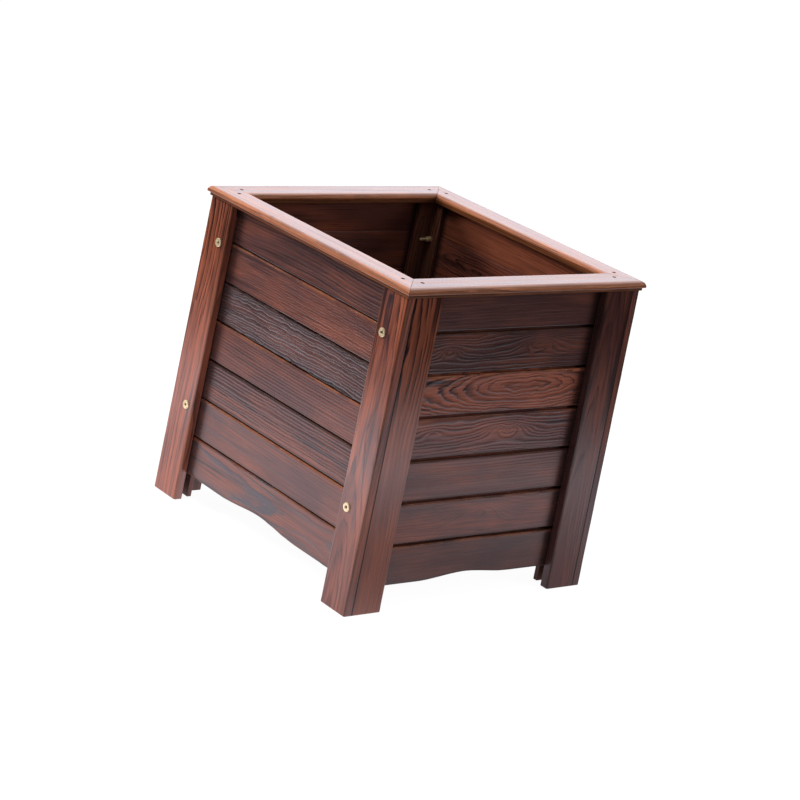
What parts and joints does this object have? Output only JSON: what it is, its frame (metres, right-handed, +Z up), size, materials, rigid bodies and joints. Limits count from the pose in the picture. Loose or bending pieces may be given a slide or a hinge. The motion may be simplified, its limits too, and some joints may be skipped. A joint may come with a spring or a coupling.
{
  "type": "planter box",
  "caption": "Square slatted timber planter box on four corner legs, with a mitred moulded rim, an arched apron on each side and a slatted drainage floor.",
  "frame": {"origin": "centre of the square footprint, on the ground", "axes": "+Z up; the front face, which shows corner bolts, faces -Y; +X is to the right seen from the front"},
  "size_m": [0.608, 0.608, 0.6],
  "materials": {
    "stile_wood": "oiled, brushed, dark reddish brown, upright grain",
    "slat_wood": "oiled, brushed, dark brown with darker latewood",
    "rim_wood": "smooth oiled sheen, orange brown",
    "inner_wood": "planed, oiled, dark brown",
    "floor_wood": "planed, lightly oiled",
    "brass": "plated, satin",
    "screw_steel": "dark phosphate"
  },
  "bodies": {
    "root": {"front_stile_left": "stile_wood", "front_stile_right": "stile_wood", "front_slat_1": "slat_wood", "front_slat_2": "slat_wood", "front_slat_3": "slat_wood", "front_slat_4": "slat_wood", "front_slat_5": "slat_wood", "front_slat_6": "slat_wood", "front_apron": "slat_wood", "rim_board_front": "rim_wood", "right_stile_left": "stile_wood", "right_stile_right": "stile_wood", "right_slat_1": "slat_wood", "right_slat_2": "slat_wood", "right_slat_3": "slat_wood", "right_slat_4": "slat_wood", "right_slat_5": "slat_wood", "right_slat_6": "slat_wood", "right_apron": "slat_wood", "rim_board_right": "rim_wood", "back_stile_left": "stile_wood", "back_stile_right": "stile_wood", "back_slat_1": "slat_wood", "back_slat_2": "slat_wood", "back_slat_3": "slat_wood", "back_slat_4": "slat_wood", "back_slat_5": "slat_wood", "back_slat_6": "slat_wood", "back_apron": "slat_wood", "rim_board_back": "rim_wood", "left_stile_left": "stile_wood", "left_stile_right": "stile_wood", "left_slat_1": "slat_wood", "left_slat_2": "slat_wood", "left_slat_3": "slat_wood", "left_slat_4": "slat_wood", "left_slat_5": "slat_wood", "left_slat_6": "slat_wood", "left_apron": "slat_wood", "rim_board_left": "rim_wood", "corner_post_front_left": "inner_wood", "corner_post_front_right": "inner_wood", "corner_post_back_left": "inner_wood", "corner_post_back_right": "inner_wood", "floor_bearer_left": "inner_wood", "floor_bearer_right": "inner_wood", "floor_board_1": "floor_wood", "floor_board_2": "floor_wood", "floor_board_3": "floor_wood", "floor_board_4": "floor_wood", "floor_board_5": "floor_wood", "corner_bolts": "brass", "corner_nuts": "brass", "rim_screws": "screw_steel", "slat_screws": "screw_steel", "post_screws": "screw_steel", "bearer_screws": "screw_steel", "floor_screws": "screw_steel"}
  },
  "joints": []
}
